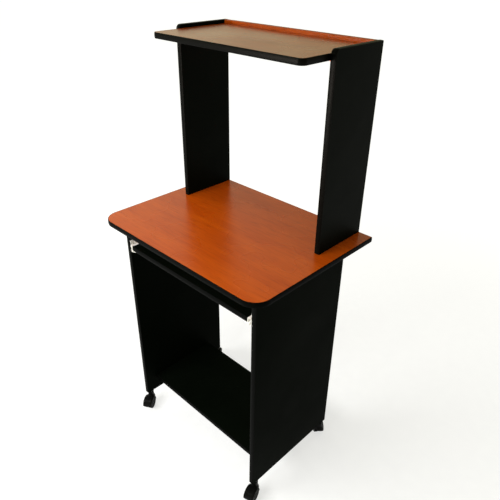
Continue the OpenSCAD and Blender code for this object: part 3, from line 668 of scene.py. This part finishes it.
HOOD_DEEP, HOOD_FACE = grey(0.0020), grey(0.0055)
moulded_black, tree, shader, place = new_finish("moulded_black", gloss_level=0.06)
flow = noise(tree, place, scale=90, detail=4.0, roughness=0.6)
fine = noise(tree, place, scale=1600, detail=2.0, roughness=0.5)
join(tree, spread(tree, flow, (0.3, HOOD_DEEP), (0.7, HOOD_FACE)), shader, "Base Color")
join(tree, level(tree, flow, low=0.36, high=0.26), shader, "Roughness")
raise_grain(tree, shader, fine, strength=0.15, depth=0.06 * MM)

TREAD_CLEAN = (0.0040, 0.0044, 0.0040, 1)
TREAD_DUSTY = (0.0140, 0.0140, 0.0125, 1)
wheel_black, tree, shader, place = new_finish("wheel_black", gloss_level=0.07)
grit = noise(tree, place, scale=330, detail=5.0, roughness=0.7)
join(tree, spread(tree, grit, (0.42, TREAD_CLEAN), (0.82, TREAD_DUSTY)), shader, "Base Color")
join(tree, level(tree, grit, low=0.42, high=0.62), shader, "Roughness")
raise_grain(tree, shader, grit, strength=0.25, depth=0.12 * MM)

OXIDE_DEEP = (0.010, 0.010, 0.011, 1)
OXIDE_WORN = (0.040, 0.040, 0.042, 1)
dark_steel, tree, shader, place = new_finish("dark_steel", gloss_level=0.3)
bloom = noise(tree, place, scale=520, detail=4.0, roughness=0.65)
join(tree, spread(tree, bloom, (0.35, OXIDE_DEEP), (0.7, OXIDE_WORN)), shader, "Base Color")
join(tree, level(tree, bloom, low=0.55, high=0.42), shader, "Roughness")
shader.inputs["Metallic"].default_value = 1.0
raise_grain(tree, shader, bloom, strength=0.2, depth=0.06 * MM)


def middle(name):
    """The middle of a CAD node's box."""
    low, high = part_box(name)
    return (low + high) / 2


HOOD = hood_mesh()
WHEELS = {"a": wheel_mesh(-1), "b": wheel_mesh(1)}
for name in ("front_left", "front_right", "rear_left", "rear_right"):
    stem_at = middle(name + "_stem")
    lead = middle(name + "_axle") - stem_at
    heading = Matrix.Rotation(math.atan2(-lead.x, lead.y), 4, "Z")
    stand = Matrix.Translation((stem_at.x, stem_at.y, 0)) @ heading
    piece(name + "_hood", HOOD, moulded_black, name + "_caster", place=stand)
    for wheel, mesh in WHEELS.items():
        wheel_node = name + "_wheel_" + wheel
        piece(wheel_node, mesh, wheel_black, wheel_node, place=stand)
    dress(cast_zinc, name + "_sleeve")
    dress(dark_steel, name + "_stem", name + "_axle")


# Stand: a white floor under a pale studio sky. Seen by the camera or in a gloss, the floor glows
# almost to white and keeps the desk's soft shadow, and for other rays it is pale paper. The camera
# sees the sky as a white sheet, and the boards' gloss shows it as it is.
FLOOR_HALF = 40.0
NEAR, FAR = 0.45, 2.2
GLOW_NEAR, GLOW_FAR = grey(0.66), grey(0.92)
PAPER_DIM, PAPER_PALE = grey(0.38), grey(0.42)
floor_corners = [(-FLOOR_HALF, -FLOOR_HALF, 0), (FLOOR_HALF, -FLOOR_HALF, 0),
                 (FLOOR_HALF, FLOOR_HALF, 0), (-FLOOR_HALF, FLOOR_HALF, 0)]
floor_mesh = bpy.data.meshes.new("floor")
floor_mesh.from_pydata(floor_corners, [], [(0, 1, 2, 3)])
floor = bpy.data.objects.new("floor", floor_mesh)
bpy.context.scene.collection.objects.link(floor)


def share_between(tree, value, start, end):
    """Goes from 0 to 1 as a value goes from start to end."""
    return add(tree, "ShaderNodeMapRange", Value=value, From_Min=start,
               From_Max=end).outputs["Result"]


paper = bpy.data.materials.new("white_paper")
paper.use_nodes = True
tree = paper.node_tree
tree.nodes.remove(tree.nodes["Principled BSDF"])
on_floor = add(tree, "ShaderNodeTexCoord").outputs["Object"]
fibre = noise(tree, on_floor, scale=30, detail=3.0, roughness=0.55)
surface = spread(tree, fibre, (0.3, PAPER_DIM), (0.7, PAPER_PALE))
matt = add(tree, "ShaderNodeBsdfDiffuse", Color=surface)
reach = tree.nodes.new("ShaderNodeVectorMath")
reach.operation = "LENGTH"
join(tree, on_floor, reach, 0)
away = share_between(tree, reach.outputs["Value"], NEAR, FAR)
glowing = spread(tree, away, (0.0, GLOW_NEAR), (1.0, GLOW_FAR))
glow = add(tree, "ShaderNodeEmission", Strength=1.0, Color=glowing)
both = tree.nodes.new("ShaderNodeAddShader")
join(tree, matt.outputs["BSDF"], both, 0)
join(tree, glow.outputs["Emission"], both, 1)
rays = tree.nodes.new("ShaderNodeLightPath").outputs
seen = rays["Is Camera Ray"]
for kind in ("Is Glossy Ray", "Is Transmission Ray"):
    either = tree.nodes.new("ShaderNodeMath")
    either.operation = "MAXIMUM"
    join(tree, seen, either, 0)
    join(tree, rays[kind], either, 1)
    seen = either.outputs["Value"]
shown = tree.nodes.new("ShaderNodeMixShader")
join(tree, seen, shown, "Fac")
join(tree, matt.outputs["BSDF"], shown, 1)
join(tree, both.outputs["Shader"], shown, 2)
join(tree, shown.outputs["Shader"], tree.nodes["Material Output"], "Surface")
floor_mesh.materials.append(paper)

SKY_LOW = (1.0, 1.0, 0.82, 1)
SKY_SIDE, SKY_HIGH = grey(0.68), grey(0.36)
LIT_SIDE = (1.0, 0.97, 0.80, 1)
FAR_SIDE = (0.50, 0.50, 0.32, 1)
LIT_FROM, LIT_FULL = -0.5, -0.85
SHEET_WHITE = grey(1.0)
sky = bpy.data.worlds.new("studio")
bpy.context.scene.world = sky
sky.use_nodes = True
tree = sky.node_tree
toward = add(tree, "ShaderNodeTexCoord").outputs["Generated"]
parts = add(tree, "ShaderNodeSeparateXYZ", Vector=toward).outputs
left = share_between(tree, parts["X"], LIT_FROM, LIT_FULL)
low_sky = spread(tree, left, (0.0, FAR_SIDE), (1.0, LIT_SIDE))
rise = spread(tree, parts["Z"], (0.16, SKY_LOW), (0.44, SKY_SIDE), (1.0, SKY_HIGH))
to_camera = tree.nodes.new("ShaderNodeLightPath").outputs["Is Camera Ray"]
studio = blended(tree, "MULTIPLY", 1.0, low_sky, rise)
join(tree, blended(tree, "MIX", to_camera, studio, SHEET_WHITE), tree.nodes["Background"], "Color")


# Lamps: a long soft key in front of the desk, a little lower than the shelf, and a weak fill from
# the left, neither of them mirrored in the boards. A small sheen lamp to the front left shows in
# gloss only, as a soft highlight on the bands.
DESK_MIDDLE = Vector((0, 0, 0.75))
KEY_AT = (-0.25, -1.4, 1.10)
FILL_AT = (-2.0, -0.2, 1.30)
SHEEN_AT = (-0.62, -1.3, 0.95)


def soft_lamp(name, place, width, height, power, sheen=False):
    """A broad lamp turned towards the middle of the desk."""
    lamp = bpy.data.lights.new(name, "AREA")
    lamp.shape = "RECTANGLE"
    lamp.size = width
    lamp.size_y = height
    lamp.energy = power
    made = bpy.data.objects.new(name, lamp)
    made.location = place
    made.rotation_euler = (DESK_MIDDLE - Vector(place)).to_track_quat("-Z", "Y").to_euler()
    made.visible_camera = False
    made.visible_glossy = sheen
    made.visible_diffuse = not sheen
    bpy.context.scene.collection.objects.link(made)


soft_lamp("key", KEY_AT, width=1.3, height=0.4, power=38)
soft_lamp("fill", FILL_AT, width=1.0, height=1.0, power=18)
soft_lamp("sheen", SHEEN_AT, width=0.30, height=0.6, power=17, sheen=True)


# Camera: to the right of the desk's front and a little above its shelf, turned, tilted and rolled
# as the photograph's straight edges show, with the lens that they give.
CAMERA_AT = (0.9201, -0.8792, 1.4162)
CAMERA_HEADING = math.radians(44.11)
CAMERA_TILT = math.radians(59.64)
CAMERA_ROLL = math.radians(0.65)
LENS_LENGTH = 37.47
SENSOR_WIDTH = 36
lens = bpy.data.cameras.new("camera")
lens.lens = LENS_LENGTH
lens.sensor_width = SENSOR_WIDTH
camera = bpy.data.objects.new("camera", lens)
camera.matrix_world = (Matrix.Translation(CAMERA_AT)
                       @ Matrix.Rotation(CAMERA_HEADING, 4, "Z")
                       @ Matrix.Rotation(CAMERA_TILT, 4, "X")
                       @ Matrix.Rotation(CAMERA_ROLL, 4, "Z"))
bpy.context.scene.collection.objects.link(camera)
bpy.context.scene.camera = camera
bpy.context.scene.view_settings.view_transform = "Standard"
